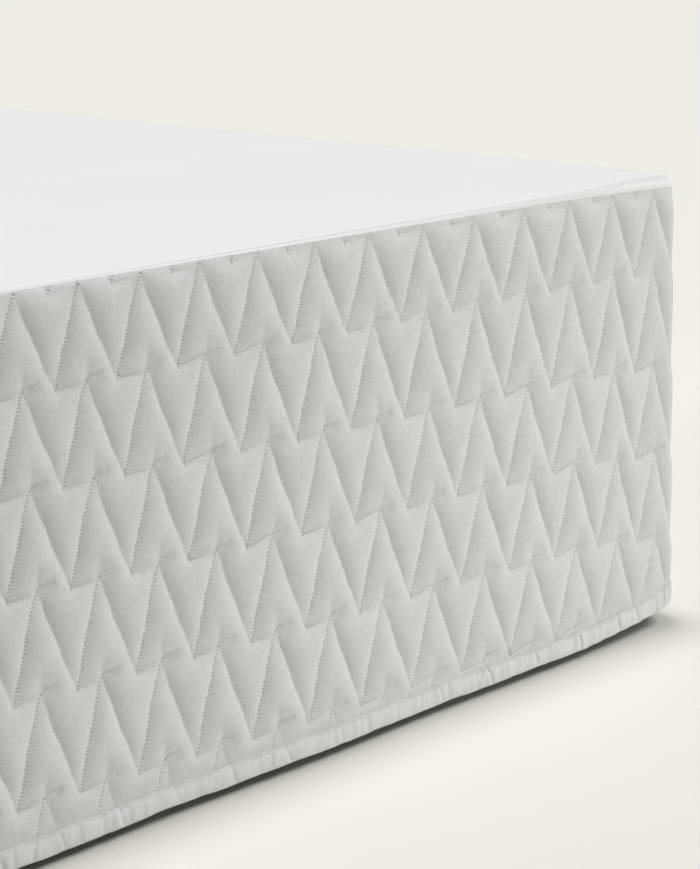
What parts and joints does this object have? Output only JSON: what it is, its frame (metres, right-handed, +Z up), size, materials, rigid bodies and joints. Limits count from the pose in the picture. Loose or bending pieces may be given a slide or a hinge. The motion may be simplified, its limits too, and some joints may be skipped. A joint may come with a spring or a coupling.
{
  "type": "bed skirt on a single bed base",
  "caption": "Quilted bed skirt with zigzag stitching and a bound hem, on a plain bed base: a white deck cloth with drops at the foot and along the sides, and an open head end.",
  "frame": {"origin": "on the floor, below the middle of the bed base", "axes": "+Z up, +Y towards the head of the bed, +X to the right of someone who stands at the foot and looks at the bed"},
  "size_m": [1.0158, 1.9229, 0.408],
  "materials": {
    "white_deck_cloth": "plain white cotton cloth",
    "warm_grey_quilting": "pale warm grey cloth with fine slubs, quilted in zigzag rows",
    "pale_grey_binding": "pale grey folded binding",
    "grey_upholstery": "plain grey base cloth",
    "black_plastic": "moulded glides"
  },
  "bodies": {
    "root": {"deck": "white_deck_cloth", "drop_foot": "warm_grey_quilting", "drop_left": "warm_grey_quilting", "drop_right": "warm_grey_quilting", "binding_foot": "pale_grey_binding", "binding_left": "pale_grey_binding", "binding_right": "pale_grey_binding", "base_box": "grey_upholstery", "glide_foot_left": "black_plastic", "glide_foot_right": "black_plastic", "glide_middle_left": "black_plastic", "glide_middle_right": "black_plastic", "glide_head_left": "black_plastic", "glide_head_right": "black_plastic"}
  },
  "joints": []
}
